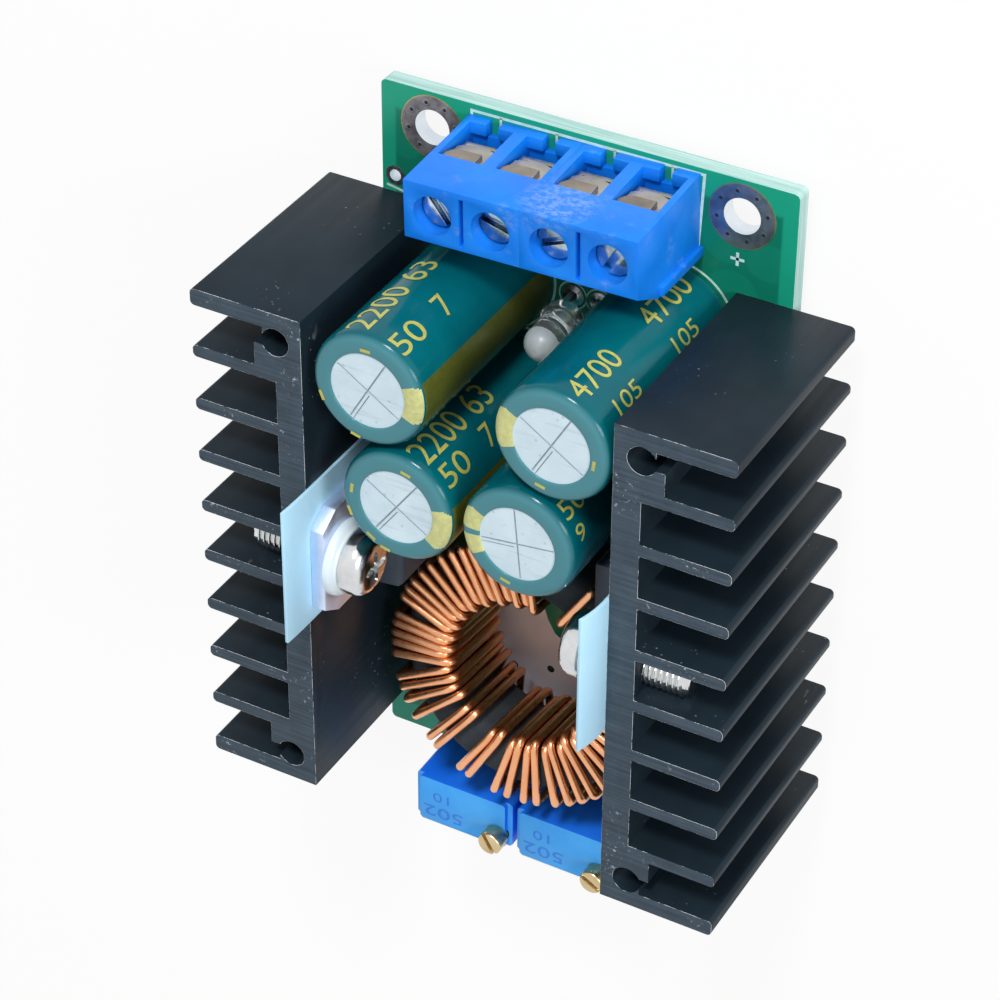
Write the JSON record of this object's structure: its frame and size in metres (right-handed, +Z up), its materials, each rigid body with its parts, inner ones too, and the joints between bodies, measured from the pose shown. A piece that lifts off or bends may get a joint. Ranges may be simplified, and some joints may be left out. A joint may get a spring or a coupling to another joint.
{
  "type": "DC-DC power converter module",
  "caption": "Open-frame adjustable DC-DC converter board with finned heatsinks, a wound ring choke, upright capacitors, trimmers and a screw terminal strip.",
  "frame": {"origin": "centre of the overall box, at the height of the solder joint tips that the module stands on", "axes": "+Z up from the board's component side, +Y towards the terminal end, +X towards the right heatsink when looking from above with the terminals away from the viewer"},
  "size_m": [0.0474, 0.0664, 0.027],
  "materials": {
    "board": "solder-mask gloss",
    "solder": "dull tin",
    "black_anodised": "black anodised",
    "pad_silicone": "matte",
    "tab_metal": "tinned",
    "case_epoxy": "moulded matte",
    "screw_steel": "bright plated",
    "washer_nylon": "gloss",
    "can_aluminium": "satin",
    "wrap_sleeve": "gloss",
    "terminal_blue": "semi-gloss",
    "contact_metal": "plated",
    "core_powder": "matte",
    "winding_copper": "enamelled, glossy",
    "trimmer_blue": "semi-gloss",
    "trimmer_brass": "bright",
    "led_clear": "clear",
    "chip_epoxy": "matte",
    "chip_ceramic": "matte"
  },
  "bodies": {
    "module": {"capacitor_1": "can_aluminium", "capacitor_2": "can_aluminium", "capacitor_3": "can_aluminium", "capacitor_4": "can_aluminium", "capacitor_wrap_1": "wrap_sleeve", "capacitor_wrap_2": "wrap_sleeve", "capacitor_wrap_3": "wrap_sleeve", "capacitor_wrap_4": "wrap_sleeve", "chip_resistors": "chip_ceramic", "choke_core": "core_powder", "choke_winding": "winding_copper", "circuit_board": "board", "comparator_chip": "chip_epoxy", "comparator_chip_legs": "solder", "converter_case": "case_epoxy", "converter_leads": "solder", "converter_tab": "tab_metal", "current_shunt": "chip_ceramic", "heatsink_left": "black_anodised", "heatsink_right": "black_anodised", "heatsink_screw_left": "screw_steel", "heatsink_screw_right": "screw_steel", "indicator_leads": "solder", "indicator_led": "led_clear", "insulating_pad_left": "pad_silicone", "insulating_pad_right": "pad_silicone", "insulating_washer_left": "washer_nylon", "insulating_washer_right": "washer_nylon", "rectifier_case": "case_epoxy", "rectifier_leads": "solder", "rectifier_tab": "tab_metal", "reference_chip": "chip_epoxy", "reference_chip_legs": "solder", "solder_joints": "solder", "terminal_block_1": "terminal_blue", "terminal_block_2": "terminal_blue", "terminal_contact_1": "contact_metal", "terminal_contact_2": "contact_metal", "terminal_contact_3": "contact_metal", "terminal_contact_4": "contact_metal", "trimmer_1": "trimmer_blue", "trimmer_2": "trimmer_blue", "trimmer_pins_1": "solder", "trimmer_pins_2": "solder"},
    "terminal_screw_1": {"terminal_screw_1": "screw_steel"},
    "terminal_screw_2": {"terminal_screw_2": "screw_steel"},
    "terminal_screw_3": {"terminal_screw_3": "screw_steel"},
    "terminal_screw_4": {"terminal_screw_4": "screw_steel"},
    "wire_clamp_1": {"wire_clamp_1": "contact_metal"},
    "wire_clamp_2": {"wire_clamp_2": "contact_metal"},
    "wire_clamp_3": {"wire_clamp_3": "contact_metal"},
    "wire_clamp_4": {"wire_clamp_4": "contact_metal"},
    "trimmer_screw_1": {"trimmer_screw_1": "trimmer_brass"},
    "trimmer_screw_2": {"trimmer_screw_2": "trimmer_brass"}
  },
  "joints": [
    {"name": "terminal_screw_1_turn", "type": "hinge", "parent": "module", "child": "terminal_screw_1", "pos_m": [-0.00763, 0.02913, 0.0112], "axis": [0, 0, -1], "range_deg": [0, 1440]},
    {"name": "wire_clamp_1_rise", "type": "slide", "parent": "module", "child": "wire_clamp_1", "axis": [0, 0, 1], "range_m": [0, 0.0018]},
    {"name": "terminal_screw_2_turn", "type": "hinge", "parent": "module", "child": "terminal_screw_2", "pos_m": [-0.00255, 0.02924, 0.0112], "axis": [0, 0, -1], "range_deg": [0, 1440]},
    {"name": "wire_clamp_2_rise", "type": "slide", "parent": "module", "child": "wire_clamp_2", "axis": [0, 0, 1], "range_m": [0, 0.0018]},
    {"name": "terminal_screw_3_turn", "type": "hinge", "parent": "module", "child": "terminal_screw_3", "pos_m": [0.00253, 0.02936, 0.0112], "axis": [0, 0, -1], "range_deg": [0, 1440]},
    {"name": "wire_clamp_3_rise", "type": "slide", "parent": "module", "child": "wire_clamp_3", "axis": [0, 0, 1], "range_m": [0, 0.0018]},
    {"name": "terminal_screw_4_turn", "type": "hinge", "parent": "module", "child": "terminal_screw_4", "pos_m": [0.00761, 0.02947, 0.0112], "axis": [0, 0, -1], "range_deg": [0, 1440]},
    {"name": "wire_clamp_4_rise", "type": "slide", "parent": "module", "child": "wire_clamp_4", "axis": [0, 0, 1], "range_m": [0, 0.0018]},
    {"name": "trimmer_screw_1_turn", "type": "hinge", "parent": "module", "child": "trimmer_screw_1", "pos_m": [-0.00166, -0.03193, 0.01323], "axis": [0, 0, 1], "continuous": true},
    {"name": "trimmer_screw_2_turn", "type": "hinge", "parent": "module", "child": "trimmer_screw_2", "pos_m": [0.00833, -0.03193, 0.01323], "axis": [0, 0, 1], "continuous": true}
  ],
  "couplings": [
    {"joint": "terminal_screw_1_turn", "follows": "wire_clamp_1_rise", "rad_per_m": 13963},
    {"joint": "terminal_screw_2_turn", "follows": "wire_clamp_2_rise", "rad_per_m": 13963},
    {"joint": "terminal_screw_3_turn", "follows": "wire_clamp_3_rise", "rad_per_m": 13963},
    {"joint": "terminal_screw_4_turn", "follows": "wire_clamp_4_rise", "rad_per_m": 13963}
  ]
}
